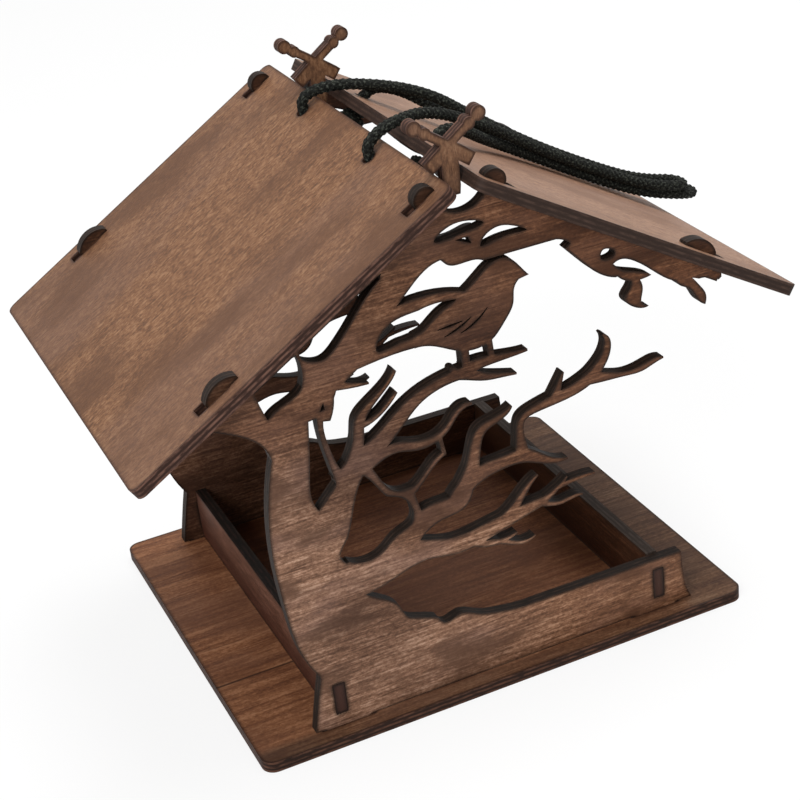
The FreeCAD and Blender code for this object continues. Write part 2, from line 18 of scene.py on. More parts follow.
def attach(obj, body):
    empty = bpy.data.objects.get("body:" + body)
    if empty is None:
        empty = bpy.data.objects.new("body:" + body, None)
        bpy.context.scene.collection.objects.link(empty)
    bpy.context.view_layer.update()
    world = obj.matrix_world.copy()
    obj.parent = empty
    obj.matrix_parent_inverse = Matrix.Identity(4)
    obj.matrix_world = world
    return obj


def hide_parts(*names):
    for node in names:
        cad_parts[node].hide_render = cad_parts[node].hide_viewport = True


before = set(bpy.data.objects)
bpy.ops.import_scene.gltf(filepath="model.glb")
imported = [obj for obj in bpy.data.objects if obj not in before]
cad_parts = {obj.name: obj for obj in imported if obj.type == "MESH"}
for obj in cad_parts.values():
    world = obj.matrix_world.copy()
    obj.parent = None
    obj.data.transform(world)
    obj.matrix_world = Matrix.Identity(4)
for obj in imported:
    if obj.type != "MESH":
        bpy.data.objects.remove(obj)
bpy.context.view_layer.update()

log = logging.getLogger("bird_feeder")

Colour = tuple[float, float, float]
Scales = tuple[float, float, float]
Span = tuple[float, float]


class Side(Enum):
    """Side of the ridge, as the sign of X."""

    LEFT = -1
    RIGHT = 1


class Row(Enum):
    """Row of cord holes, as the sign of Y."""

    FRONT = -1
    REAR = 1


class NodeDesk:
    """Adds nodes to one shader tree and wires them."""

    def __init__(self, tree: bpy.types.NodeTree) -> None:
        """Clears the tree and keeps it.

        Args:
            tree: Node tree of a material, a world or a node group.
        """
        self.tree = tree
        tree.nodes.clear()

    def add(self, kind: str, values: dict[Any, Any] | None = None, **settings: Any) -> bpy.types.Node:
        """Adds one node, sets its properties and fills or wires its inputs.

        Args:
            kind: Type name of the node.
            values: Input names or numbers, each with a plain value or with the socket that feeds it.
            settings: Properties of the node.

        Returns:
            The new node.
        """
        node = self.tree.nodes.new(kind)
        for name, value in settings.items():
            setattr(node, name, value)
        for key, value in (values or {}).items():
            if isinstance(value, bpy.types.NodeSocket):
                self.tree.links.new(value, node.inputs[key])
            else:
                node.inputs[key].default_value = value
        return node

    def math(self, operation: str, first: Any, second: Any = 0.0) -> bpy.types.NodeSocket:
        """Gives the result of one sum, such as a product or the larger of two values."""
        return self.add("ShaderNodeMath", {0: first, 1: second}, operation=operation).outputs[0]

    def stretch(self, vector: Any, factors: Any) -> bpy.types.NodeSocket:
        """Gives a vector with each of its parts multiplied."""
        return self.add("ShaderNodeVectorMath", {0: vector, 1: factors}, operation="MULTIPLY").outputs[0]

    def step(self, value: Any, low: float, high: float, top: Any = 1.0) -> bpy.types.NodeSocket:
        """Gives a soft step from nothing at a low value to the top at a high value."""
        values = {"Value": value, "From Min": low, "From Max": high, "To Max": top}
        return self.add("ShaderNodeMapRange", values, interpolation_type="SMOOTHSTEP").outputs[0]

    def mix(self, share: Any, first: Any, second: Any, blend: str = "MIX") -> bpy.types.NodeSocket:
        """Gives one colour mixed over another by a share."""
        values = {0: share, 6: first, 7: second}
        return self.add("ShaderNodeMix", values, data_type="RGBA", blend_type=blend).outputs[2]

    def noise(self, vector: Any, turn: Any, detail: float = 3.0,
              rough: float = 0.55) -> bpy.types.NodeSocket:
        """Gives soft noise at unit scale, with its own turn for each board."""
        values = {"Vector": vector, "W": turn, "Scale": 1.0, "Detail": detail, "Roughness": rough}
        return self.add("ShaderNodeTexNoise", values, noise_dimensions="4D").outputs[0]


def rgba(colour: Colour) -> tuple[float, float, float, float]:
    """Gives a colour with full alpha."""
    return (*colour, 1.0)


def new_group(name: str, inputs: dict[str, str], outputs: dict[str, str]) -> tuple[NodeDesk, Any, Any]:
    """Makes an empty shader node group with named sockets.

    Args:
        name: Name of the group.
        inputs: Name and short type of each input.
        outputs: Name and short type of each output.

    Returns:
        The desk of the group, its input node and its output node.
    """
    tree = bpy.data.node_groups.new(name, "ShaderNodeTree")
    desk = NodeDesk(tree)
    for rows, way in ((inputs, "INPUT"), (outputs, "OUTPUT")):
        for label, kind in rows.items():
            tree.interface.new_socket(name=label, in_out=way, socket_type="NodeSocket" + kind)
    return desk, desk.add("NodeGroupInput"), desk.add("NodeGroupOutput")


def stained_grain_group() -> bpy.types.NodeTree:
    """Makes the group that draws stained veneer.

    It has streaks along X, dark pores, pale flecks and broad blotches.

    Returns:
        The node group.
    """
    desk, given, out = new_group(
        "stained_grain",
        {"Place": "Vector", "Turn": "Float", "Deep": "Color", "Stain": "Color", "Pale": "Color",
         "Cool": "Color", "Streak": "Vector", "Blotch": "Vector", "Blotch Depth": "Float",
         "Fleck": "Float"},
        {"Color": "Color", "Height": "Float", "Rough": "Float"},
    )
    finest = (800.0, 1300.0, 1300.0)
    pore_span = (0.56, 0.68)
    turn = given.outputs["Turn"]
    along = desk.stretch(given.outputs["Place"], given.outputs["Streak"])
    spread = desk.stretch(given.outputs["Place"], given.outputs["Blotch"])
    fine = desk.noise(along, turn, 4.0, 0.62)
    wide = desk.noise(desk.stretch(along, (0.35, 0.2, 0.2)), turn, 3.0)
    speck = desk.noise(desk.stretch(given.outputs["Place"], finest), turn, 3.0, 0.65)
    pores = desk.noise(desk.stretch(along, (1.3, 2.4, 2.4)), turn, 2.0)
    patches = desk.noise(spread, turn, 4.0, 0.6)
    clouds = desk.noise(desk.stretch(spread, (0.6, 0.6, 0.6)), desk.math("ADD", turn, 7.0), 3.0)
    streaks = desk.math("ADD", desk.math("MULTIPLY", fine, 0.5), desk.math("MULTIPLY", wide, 0.15))
    tone = desk.math("ADD", streaks, desk.math("MULTIPLY", speck, 0.35))
    base = desk.mix(desk.step(tone, 0.38, 0.56), given.outputs["Deep"], given.outputs["Stain"])
    pale = desk.math("MULTIPLY", desk.step(tone, 0.50, 0.64), given.outputs["Fleck"])
    flecked = desk.mix(pale, base, given.outputs["Pale"])
    cooled = desk.mix(desk.step(clouds, 0.44, 0.64, 0.5), flecked, given.outputs["Cool"])
    dark = desk.math("MULTIPLY", desk.step(patches, 0.47, 0.64), given.outputs["Blotch Depth"])
    blotched = desk.mix(dark, cooled, given.outputs["Deep"])
    pored = desk.mix(desk.step(pores, *pore_span, 0.7), blotched, given.outputs["Deep"])
    height = desk.math("SUBTRACT", fine, desk.step(pores, *pore_span, 0.6))
    rough = desk.math("MULTIPLY_ADD", tone, 0.2)
    rough.node.inputs[2].default_value = 0.42
    for socket, label in ((pored, "Color"), (height, "Height"), (rough, "Rough")):
        desk.tree.links.new(socket, out.inputs[label])
    return desk.tree


def scorched_edge_group() -> bpy.types.NodeTree:
    """Makes the group that draws a laser-cut edge: scorched brown plies with nearly black glue lines.

    Returns:
        The node group.
    """
    desk, given, out = new_group(
        "scorched_edge",
        {"Place": "Vector", "Turn": "Float", "Scorch": "Color", "Ply": "Color", "Plies": "Float"},
        {"Color": "Color", "Height": "Float"},
    )
    parts = desk.add("ShaderNodeSeparateXYZ", {0: given.outputs["Place"]})
    seam = desk.math("PINGPONG", desk.math("MULTIPLY", parts.outputs["Z"], given.outputs["Plies"]), 1.0)
    layer = desk.math("SUBTRACT", 1.0, seam)
    grime = desk.stretch(given.outputs["Place"], (260.0, 260.0, 900.0))
    soot = desk.noise(grime, given.outputs["Turn"], 3.0, 0.6)
    burn = desk.math("MULTIPLY", desk.step(layer, 0.25, 0.8), desk.step(soot, 0.34, 0.66))
    colour = desk.mix(burn, given.outputs["Scorch"], given.outputs["Ply"])
    desk.tree.links.new(colour, out.inputs["Color"])
    desk.tree.links.new(layer, out.inputs["Height"])
    return desk.tree


@dataclass(frozen=True)
class PlywoodStain:
    """Tones of the stained plywood."""

    deep: Colour = (0.086, 0.042, 0.026)
    stain: Colour = (0.245, 0.130, 0.080)
    pale: Colour = (0.440, 0.275, 0.190)
    cool: Colour = (0.205, 0.122, 0.100)
    scorch: Colour = (0.011, 0.007, 0.005)
    ply: Colour = (0.036, 0.021, 0.015)
    plies: float = 1250.0


@dataclass(frozen=True)
class BoardFinish:
    """Finish of one plywood board, in the board's own directions."""

    node: str
    middle: Vector
    grain: Vector
    outward: Vector
    turn: float
    streak: Scales = (95.0, 1300.0, 1300.0)
    blotch: Scales = (24.0, 46.0, 46.0)
    blotch_depth: float = 0.55
    fleck: float = 0.8
    tones: PlywoodStain = PlywoodStain()
    face_span: Span = (0.6, 0.8)
    arris: float = 0.0027
    fringe_span: Span = (0.012, 0.150)
    fringe_share: float = 0.85
    edge_roughness: float = 0.62
    relief: float = 0.35
    relief_depth: float = 0.0002
    gloss: float = 0.12

    def turned(self) -> tuple[float, float, float]:
        """Gives the turn of the board's frame: X along the grain and Z through the board."""
        across = self.outward.cross(self.grain)
        return tuple(Matrix((self.grain, across, self.outward)).transposed().to_euler())

    def shaded(self, desk: NodeDesk, place: Any, colour: Any) -> bpy.types.NodeSocket:
        """Gives the colour of the face with the board's own shading, of which a plain board has none.

        Args:
            desk: Desk of the material.
            place: Place in the house.
            colour: Colour of the stained face.

        Returns:
            The shaded colour.
        """
        return colour

    def rimmed(self, desk: NodeDesk, place: Any, colour: Any, fringe: Any) -> bpy.types.NodeSocket:
        """Gives the colour of the cut edge with the board's own tone, of which a plain board has none.

        Args:
            desk: Desk of the material.
            place: Place in the house.
            colour: Colour of the scorched edge.
            fringe: Share of the dark fringe along the arrises.

        Returns:
            The colour of the edge.
        """
        return colour

    def material(self, grain: bpy.types.NodeTree, edge: bpy.types.NodeTree) -> bpy.types.Material:
        """Makes the material of the board.

        Args:
            grain: Node group of the stained grain.
            edge: Node group of the scorched edge.

        Returns:
            The new material.
        """
        made = bpy.data.materials.new(self.node + "_plywood")
        made.use_nodes = True
        desk = NodeDesk(made.node_tree)
        tones = self.tones
        house = desk.add("ShaderNodeTexCoord").outputs["Object"]
        laid = {"Vector": house, "Location": self.middle, "Rotation": self.turned()}
        place = desk.add("ShaderNodeMapping", laid, vector_type="TEXTURE").outputs[0]
        facing = desk.add("ShaderNodeNewGeometry").outputs["True Normal"]
        square = desk.add("ShaderNodeVectorMath", {0: facing, 1: self.outward}, operation="DOT_PRODUCT")
        on_face = desk.step(desk.math("ABSOLUTE", square.outputs["Value"]), *self.face_span)
        face = desk.add("ShaderNodeGroup", {}, node_tree=grain)
        rim = desk.add("ShaderNodeGroup", {}, node_tree=edge)
        for group, values in (
            (face, {"Turn": self.turn, "Deep": rgba(tones.deep), "Stain": rgba(tones.stain),
                    "Pale": rgba(tones.pale), "Cool": rgba(tones.cool), "Streak": self.streak,
                    "Blotch": self.blotch, "Blotch Depth": self.blotch_depth, "Fleck": self.fleck}),
            (rim, {"Turn": self.turn, "Scorch": rgba(tones.scorch), "Ply": rgba(tones.ply),
                   "Plies": tones.plies}),
        ):
            desk.tree.links.new(place, group.inputs["Place"])
            for label, value in values.items():
                group.inputs[label].default_value = value
        near = desk.add("ShaderNodeBevel", {"Radius": self.arris}, samples=8).outputs[0]
        bent = desk.add("ShaderNodeVectorMath", {0: near, 1: facing}, operation="DOT_PRODUCT")
        away = desk.math("SUBTRACT", 1.0, bent.outputs["Value"])
        fringe = desk.step(away, *self.fringe_span, self.fringe_share)
        stained = self.shaded(desk, house, face.outputs["Color"])
        scorched = desk.mix(fringe, stained, rgba(tones.scorch))
        cut = self.rimmed(desk, house, rim.outputs["Color"], fringe)
        colour = desk.mix(on_face, cut, scorched)
        rough = desk.add("ShaderNodeMapRange", {
            "Value": on_face, "To Min": self.edge_roughness, "To Max": face.outputs["Rough"]})
        bump = desk.add("ShaderNodeBump", {
            "Strength": self.relief, "Distance": self.relief_depth, "Height": face.outputs["Height"]})
        shader = desk.add("ShaderNodeBsdfPrincipled", {
            "Base Color": colour, "Roughness": rough.outputs[0], "Specular IOR Level": self.gloss,
            "Normal": bump.outputs[0]})
        desk.add("ShaderNodeOutputMaterial", {"Surface": shader.outputs[0]})
        return made


@dataclass(frozen=True)
class RoofPlan:
    """Slopes of the roof, as the cords and the roof boards need them."""

    pitch: float = math.radians(31.0)
    ridge_height: float = 0.1789
    ridge_reach: float = 0.00486
    board: float = 0.004
    hole_drop: float = 0.007
    hole_row: float = 0.028

    def down_slope(self, side: Side) -> Vector:
        """Gives the direction down one slope."""
        return Vector((side.value * math.cos(self.pitch), 0.0, -math.sin(self.pitch)))

    def off_slope(self, side: Side) -> Vector:
        """Gives the direction square to one slope."""
        return Vector((side.value * math.sin(self.pitch), 0.0, math.cos(self.pitch)))

    def over(self, side: Side, down: float, y: float, lift: float) -> Vector:
        """Gives a point over one slope.

        Args:
            side: Side of the ridge.
            down: Distance down the slope from the ridge arris.
            y: Place along the ridge.
            lift: Height off the top face of the board.

        Returns:
            The point.
        """
        arris = Vector((side.value * self.ridge_reach, y, self.ridge_height))
        return arris + self.down_slope(side) * down + self.off_slope(side) * lift

    def hole(self, side: Side, row: Row, lift: float) -> Vector:
        """Gives a point on the axis of a cord hole."""
        return self.over(side, self.hole_drop, row.value * self.hole_row, lift)

    def ridge(self, x: float, y: float, rise: float) -> Vector:
        """Gives a point over the ridge gap."""
        return Vector((x, y, self.ridge_height + rise))


ROOF = RoofPlan()


@dataclass(frozen=True)
class ShadowPatch:
    """Round painted shadow on a gable, by its middle, its reach and its strength."""

    across: float
    up: float
    reach: float
    share: float
    core: float = 0.25

    def mask(self, desk: NodeDesk, parts: Any) -> bpy.types.NodeSocket:
        """Gives the strength of the painted shadow, which is full in its core and 0 at its rim.

        Args:
            desk: Desk of the material.
            parts: X, Y and Z of the place in the house.

        Returns:
            The strength.
        """
        side = desk.math("SUBTRACT", parts["X"], self.across)
        rise = desk.math("SUBTRACT", parts["Z"], self.up)
        squares = desk.math("ADD", desk.math("MULTIPLY", side, side), desk.math("MULTIPLY", rise, rise))
        out = desk.step(desk.math("SQRT", squares), self.core * self.reach, self.reach, self.share)
        return desk.math("SUBTRACT", self.share, out)


@dataclass(frozen=True)
class GableFinish(BoardFinish):
    """Finish of a gable: painted shade on its inner face, on the limbs and on the crown, with round
    painted shadows, and sooty on the hooks.
    """

    # painted shade under the roof on the limbs and the crown
    crown_and_limb_shade: Colour = (0.57, 0.48, 0.40)
    warm: Colour = (0.84, 0.73, 0.61)
    shadow: Colour = (0.50, 0.46, 0.44)
    # painted shade on the inner face, which looks into the tray
    inside_shade: Colour = (0.66, 0.60, 0.55)
    # painted shade low on the inner face, near the floor
    deep_shade: Colour = (0.38, 0.34, 0.32)
    warm_across: Span = (-0.035, 0.050)
    limb_across: Span = (-0.041, -0.027)
    limb_up: Span = (0.050, 0.070)
    limb_share: float = 0.85
    crown_up: Span = (0.096, 0.118)
    deep_shade_up: Span = (0.014, 0.052)
    middle_blend: float = 0.001
    soot_blend: float = 0.0005
    soot_share: float = 0.5
    # round painted shadows cast by the roof eaves
    shadow_patches: tuple[ShadowPatch, ...] = (
        ShadowPatch(-0.042, 0.096, 0.033, 1.0),
        ShadowPatch(0.000, 0.119, 0.027, 1.0),
        ShadowPatch(-0.045, 0.038, 0.028, 0.7),
    )

    def shaded(self, desk: NodeDesk, place: Any, colour: Any) -> bpy.types.NodeSocket:
        """Gives the colour of the gable with its shading.

        Args:
            desk: Desk of the material.
            place: Place in the house.
            colour: Colour of the stained face.

        Returns:
            The shaded colour.
        """
        parts = desk.add("ShaderNodeSeparateXYZ", {0: place}).outputs
        warmer = desk.mix(desk.step(parts["X"], *self.warm_across), colour, rgba(self.warm), "MULTIPLY")
        beside = desk.step(parts["X"], *self.limb_across, self.limb_share)
        limbs = desk.math("MULTIPLY", desk.step(parts["Z"], *self.limb_up), beside)
        crown = desk.step(parts["Z"], *self.crown_up)
        # painted shade under the roof on the limbs and the crown
        shaded_under_roof = desk.mix(desk.math("MAXIMUM", limbs, crown), warmer, rgba(self.crown_and_limb_shade), "MULTIPLY")
        # round painted shadows on the gable
        for shadow_patch in self.shadow_patches:
            shaded_under_roof = desk.mix(shadow_patch.mask(desk, parts), shaded_under_roof, rgba(self.shadow), "MULTIPLY")
        # painted shade on the inner face of the gable
        middle = abs(self.middle.y)
        depth = desk.math("ABSOLUTE", parts["Y"])
        outer = desk.step(depth, middle - self.middle_blend, middle + self.middle_blend)
        inner = desk.math("SUBTRACT", 1.0, outer)
        inside_shaded = desk.mix(inner, shaded_under_roof, rgba(self.inside_shade), "MULTIPLY")
        # painted shade low on the inner face of the gable, near the floor
        low = desk.math("SUBTRACT", 1.0, desk.step(parts["Z"], *self.deep_shade_up))
        deep_shaded = desk.mix(desk.math("MULTIPLY", inner, low), inside_shaded, rgba(self.deep_shade), "MULTIPLY")
        out = desk.math("MULTIPLY", desk.math("ABSOLUTE", parts["X"]), math.sin(ROOF.pitch))
        lift = desk.math("ADD", out, desk.math("MULTIPLY", parts["Z"], math.cos(ROOF.pitch)))
        roof = ROOF.ridge_reach * math.sin(ROOF.pitch) + ROOF.ridge_height * math.cos(ROOF.pitch)
        sooty = desk.step(lift, roof - self.soot_blend, roof + self.soot_blend, self.soot_share)
        return desk.mix(sooty, deep_shaded, rgba(self.tones.scorch))


@dataclass(frozen=True)
class BaseFinish(BoardFinish):
    """Finish of the base: painted shade outside the tray and in its corners, with a seam on the left."""

    # painted shade on the left strip outside the tray
    wear_and_shade: Colour = (0.76, 0.76, 0.76)
    # painted shade on the right strip under the eave and on the front strip
    outside_shade: Colour = (0.39, 0.47, 0.55)
    # painted shade inside the tray: along the left rail, at the rear and by the right rail
    deep_shade: Colour = (0.24, 0.20, 0.18)
    left_edge: Span = (0.0580, 0.0620)
    right_edge: Span = (0.0560, 0.0720)
    front_edge: Span = (0.0675, 0.0725)
    rear_edge: Span = (0.0665, 0.0705)
    left_shade: Span = (-0.0500, 0.0120)
    right_shade: Span = (0.0380, 0.0540)
    rear_shade: Span = (0.0000, 0.0480)
    rear_share: float = 0.8
    right_share: float = 0.55
    front_share: float = 0.85
    seam: float = -0.0293
    seam_span: Span = (0.0002, 0.0007)
    seam_share: float = 0.8

    def shaded(self, desk: NodeDesk, place: Any, colour: Any) -> bpy.types.NodeSocket:
        """Gives the colour of the base with its shading.

        Args:
            desk: Desk of the material.
            place: Place in the house.
            colour: Colour of the stained face.

        Returns:
            The shaded colour.
        """
        parts = desk.add("ShaderNodeSeparateXYZ", {0: place}).outputs
        left = desk.step(desk.math("MULTIPLY", parts["X"], -1.0), *self.left_edge)
        right = desk.step(parts["X"], *self.right_edge)
        front = desk.step(desk.math("MULTIPLY", parts["Y"], -1.0), *self.front_edge)
        # painted shade on the left strip outside the tray
        left_shaded = desk.mix(left, colour, rgba(self.wear_and_shade), "MULTIPLY")
        # painted shade inside the tray, along the left rail, at the rear and by the right rail
        clear = desk.math("MAXIMUM", left, desk.step(parts["X"], *self.left_shade))
        fore = desk.math("SUBTRACT", 1.0, desk.step(parts["Y"], *self.rear_shade, self.rear_share))
        ahead = desk.math("MAXIMUM", desk.math("MAXIMUM", left, right), fore)
        open_air = desk.math("MAXIMUM", ahead, desk.step(parts["Y"], *self.rear_edge))
        lit = desk.math("MINIMUM", clear, open_air)
        by_rail = desk.step(parts["X"], *self.right_shade, self.right_share)
        shaded = desk.math("MAXIMUM", desk.math("SUBTRACT", 1.0, lit), by_rail)
        within = desk.math("SUBTRACT", 1.0, desk.math("MAXIMUM", right, front))
        deep_shaded = desk.mix(desk.math("MINIMUM", shaded, within), left_shaded, rgba(self.deep_shade), "MULTIPLY")
        # painted shade on the right strip under the eave and on the front strip
        outside = desk.math("MAXIMUM", right, desk.math("MULTIPLY", front, self.front_share))
        outside_shaded = desk.mix(outside, deep_shaded, rgba(self.outside_shade), "MULTIPLY")
        beside = desk.math("ABSOLUTE", desk.math("SUBTRACT", parts["Y"], self.seam))
        gap = desk.math("SUBTRACT", 1.0, desk.step(beside, *self.seam_span))
        seamed = desk.math("MULTIPLY", desk.math("MULTIPLY", gap, left), self.seam_share)
        return desk.mix(seamed, outside_shaded, rgba(self.tones.scorch))


@dataclass(frozen=True)
class RailFinish(BoardFinish):
    """Finish of a tray rail: painted shade towards the base, with reddish end grain on its tenons."""

    # painted shade towards the base, where the rail meets it
    foot_shade: Colour = (0.50, 0.40, 0.38)
    foot_up: Span = (0.006, 0.021)
    end_grain: Colour = (0.056, 0.025, 0.018)
    end_outline: Colour = (0.008, 0.005, 0.004)
    end_span: Span = (0.0700, 0.0702)
    end_share: float = 0.85

    def shaded(self, desk: NodeDesk, place: Any, colour: Any) -> bpy.types.NodeSocket:
        """Gives the colour of the rail with its shading.

        Args:
            desk: Desk of the material.
            place: Place in the house.
            colour: Colour of the stained face.

        Returns:
            The shaded colour.
        """
        height = desk.add("ShaderNodeSeparateXYZ", {0: place}).outputs["Z"]
        # painted shade towards the base
        lower = desk.math("SUBTRACT", 1.0, desk.step(height, *self.foot_up))
        return desk.mix(lower, colour, rgba(self.foot_shade), "MULTIPLY")

    def rimmed(self, desk: NodeDesk, place: Any, colour: Any, fringe: Any) -> bpy.types.NodeSocket:
        """Gives the colour of the cut edge, with the end grain of the tenons.

        Args:
            desk: Desk of the material.
            place: Place in the house.
            colour: Colour of the scorched edge.
            fringe: Share of the dark fringe along the arrises.

        Returns:
            The colour of the edge.
        """
        reach = desk.math("ABSOLUTE", desk.add("ShaderNodeSeparateXYZ", {0: place}).outputs["Y"])
        at_end = desk.step(reach, *self.end_span, self.end_share)
        outlined = desk.mix(fringe, rgba(self.end_grain), rgba(self.end_outline))
        return desk.mix(at_end, colour, outlined)


@dataclass
class PlywoodBoards:
    """The boards of the house, with one finish for each."""

    gable_middle: float = 0.0685
    rail_place: float = 0.0598
    key_rows: Span = (-0.0634, 0.0406)
    base_streak: Scales = (40.0, 560.0, 560.0)
    gable_blotch: Scales = (34.0, 82.0, 82.0)
    roof_streak: Scales = (430.0, 1350.0, 1350.0)
    roof_blotch: Scales = (15.0, 38.0, 38.0)
    key_streak: Scales = (260.0, 900.0, 900.0)

    def finishes(self) -> list[BoardFinish]:
        """Gives the finish of every board.

        Returns:
            The finishes, each with the name of its node.
        """
        x_way = Vector((1.0, 0.0, 0.0))
        y_way = Vector((0.0, 1.0, 0.0))
        z_way = Vector((0.0, 0.0, 1.0))
        half = ROOF.board / 2
        russet = PlywoodStain(deep=(0.148, 0.055, 0.026), stain=(0.330, 0.140, 0.065),
                              pale=(0.520, 0.262, 0.138), cool=(0.190, 0.088, 0.055),
                              scorch=(0.018, 0.008, 0.005), ply=(0.100, 0.045, 0.028))
        fair = PlywoodStain(deep=(0.098, 0.048, 0.029), stain=(0.275, 0.146, 0.090),
                            pale=(0.490, 0.307, 0.212), cool=(0.230, 0.137, 0.112))
        # left rail: outer face lighter with painted light, cut edges near black with painted shade
        lit_face_rail_tone = PlywoodStain(deep=(0.058, 0.023, 0.013), stain=(0.128, 0.053, 0.032),
                            pale=(0.216, 0.108, 0.072), cool=(0.100, 0.047, 0.034),
                            scorch=(0.006, 0.004, 0.003), ply=(0.022, 0.012, 0.009))
        # right rail: face darker with painted shade, cut edges lighter with painted light
        shaded_face_rail_tone = PlywoodStain(deep=(0.030, 0.011, 0.005), stain=(0.072, 0.028, 0.013),
                             pale=(0.130, 0.058, 0.030), cool=(0.055, 0.024, 0.013),
                             scorch=(0.034, 0.024, 0.019), ply=(0.066, 0.049, 0.040))
        # tone of the left roof and the keys
        roof_and_key_tone = PlywoodStain(deep=(0.094, 0.044, 0.024), stain=(0.208, 0.102, 0.052),
                               pale=(0.365, 0.215, 0.124), cool=(0.145, 0.082, 0.058),
                               scorch=(0.030, 0.014, 0.010), ply=(0.150, 0.076, 0.054))
        # lighter, paler copy of the roof tone for the right roof: painted light and sheen
        sheen_lit_roof_tone = PlywoodStain(deep=(0.180, 0.094, 0.058), stain=(0.303, 0.170, 0.106),
                                pale=(0.445, 0.285, 0.195), cool=(0.250, 0.153, 0.116),
                                scorch=(0.028, 0.016, 0.012), ply=(0.060, 0.035, 0.026))
        front = Vector((0.0, -self.gable_middle, 0.0))
        beside = Vector((self.rail_place, 0.0, 0.0))
        listed = [
            BaseFinish("base_plate", Vector((0.0, 0.0, half)), x_way, z_way, 1.3, self.base_streak,
                       tones=russet),
            GableFinish("front_tree_panel", front, x_way, y_way, 2.7, blotch=self.gable_blotch,
                        blotch_depth=0.8, fleck=1.0, tones=fair),
            GableFinish("rear_tree_panel", -front, x_way, y_way, 4.1, blotch=self.gable_blotch,
                        blotch_depth=0.8, fleck=1.0, tones=fair),
            RailFinish("left_tray_rail", -beside, y_way, x_way, 5.9, tones=lit_face_rail_tone),
            RailFinish("right_tray_rail", beside, y_way, x_way, 7.2, tones=shaded_face_rail_tone),
        ]
        for side, label, turn, tones in ((Side.LEFT, "left_roof_panel", 8.6, roof_and_key_tone),
                                         (Side.RIGHT, "right_roof_panel", 9.4, sheen_lit_roof_tone)):
            middle = ROOF.over(side, 0.0, 0.0, -half)
            listed.append(BoardFinish(label, middle, ROOF.down_slope(side), ROOF.off_slope(side), turn,
                                      self.roof_streak, self.roof_blotch, blotch_depth=0.75, fleck=0.6,
                                      tones=tones))
        for row, label, turn in ((self.key_rows[0], "front_ridge_key", 10.8),
                                 (self.key_rows[1], "rear_ridge_key", 12.3)):
            listed.append(BoardFinish(label, Vector((0.0, row, 0.0)), z_way, y_way, turn,
                                      self.key_streak, blotch_depth=0.1, fleck=0.5, tones=roof_and_key_tone))
        return listed

    def dress(self) -> None:
        """Puts each board's finish on its node."""
        grain = stained_grain_group()
        edge = scorched_edge_group()
        for finish in self.finishes():
            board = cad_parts[finish.node]
            board.data.materials.clear()
            board.data.materials.append(finish.material(grain, edge))
            log.info("dressed %s", finish.node)


@dataclass(frozen=True)
class Braid:
    """Braid of a cord: carriers each way, length of one turn and depth of the relief."""

    carriers: int = 5
    turn: float = 0.0115
    relief: float = 0.00052
    around: int = 40
    fullness: float = 0.6

    def height(self, angle: float, along: float) -> float:
        """Gives the height of the relief, from 0 in a crossing to 1 on top of a strand.

        Args:
            angle: Share of a turn around the cord.
            along: Distance along the cord.

        Returns:
            The height.
        """
        one = self.carriers * (angle + along / self.turn)
        other = self.carriers * (angle - along / self.turn)
        first = one - math.floor(one)
        second = other - math.floor(other)
        if (math.floor(one) + math.floor(other)) % 2:
            first, second = second, first
        crown = 1.0 - (2.0 * first - 1.0) ** 2
        dive = math.sin(math.pi * second) ** 0.5
        return crown ** self.fullness * dive


@dataclass(frozen=True)
class CordFinish:
    """Finish of the black braided cord."""

    name: str = "black_braid"
    dark: Colour = (0.0030, 0.0034, 0.0026)
    wear_and_shade: Colour = (0.0700, 0.0770, 0.0610)
    fibre: Scales = (15.0, 950.0, 1.0)
    worn_span: Span = (0.48, 0.72)
    relief: float = 0.5
    relief_depth: float = 0.00012
    roughness: float = 0.8
    gloss: float = 0.16

    def material(self) -> bpy.types.Material:
        """Makes the material of the cords and knots.

        Returns:
            The new material.
        """
        made = bpy.data.materials.new(self.name)
        made.use_nodes = True
        desk = NodeDesk(made.node_tree)
        strands = desk.stretch(desk.add("ShaderNodeUVMap", uv_map="braid").outputs[0], self.fibre)
        fuzz = desk.noise(strands, 3.0, 3.0, 0.6)
        colour = desk.mix(desk.step(fuzz, *self.worn_span), rgba(self.dark), rgba(self.wear_and_shade))
        bump = desk.add("ShaderNodeBump", {
            "Strength": self.relief, "Distance": self.relief_depth, "Height": fuzz})
        shader = desk.add("ShaderNodeBsdfPrincipled", {
            "Base Color": colour, "Roughness": self.roughness, "Specular IOR Level": self.gloss,
            "Normal": bump.outputs[0]})
        desk.add("ShaderNodeOutputMaterial", {"Surface": shader.outputs[0]})
        return made


def spline_points(name: str, route: list[Vector], steps: int) -> list[Vector]:
    """Gives the points of the smooth spline that has a route as its control points.

    Args:
        name: Name of the curve while it is read.
        route: Control points.
        steps: Points on each span of the spline.

    Returns:
        The points along the spline, in order.
    """
    data = bpy.data.curves.new(name, "CURVE")
    data.dimensions = "3D"
    data.resolution_u = steps
    spline = data.splines.new("NURBS")
    spline.points.add(len(route) - 1)
    for point, place in zip(spline.points, route):
        point.co = (*place, 1.0)
    spline.order_u = 3
    spline.use_endpoint_u = True
    holder = bpy.data.objects.new(name, data)
    bpy.context.collection.objects.link(holder)
    bpy.context.view_layer.update()
    read = bpy.data.meshes.new_from_object(holder.evaluated_get(bpy.context.evaluated_depsgraph_get()))
    points = [vertex.co.copy() for vertex in read.vertices]
    bpy.data.objects.remove(holder)
    bpy.data.curves.remove(data)
    bpy.data.meshes.remove(read)
    return points


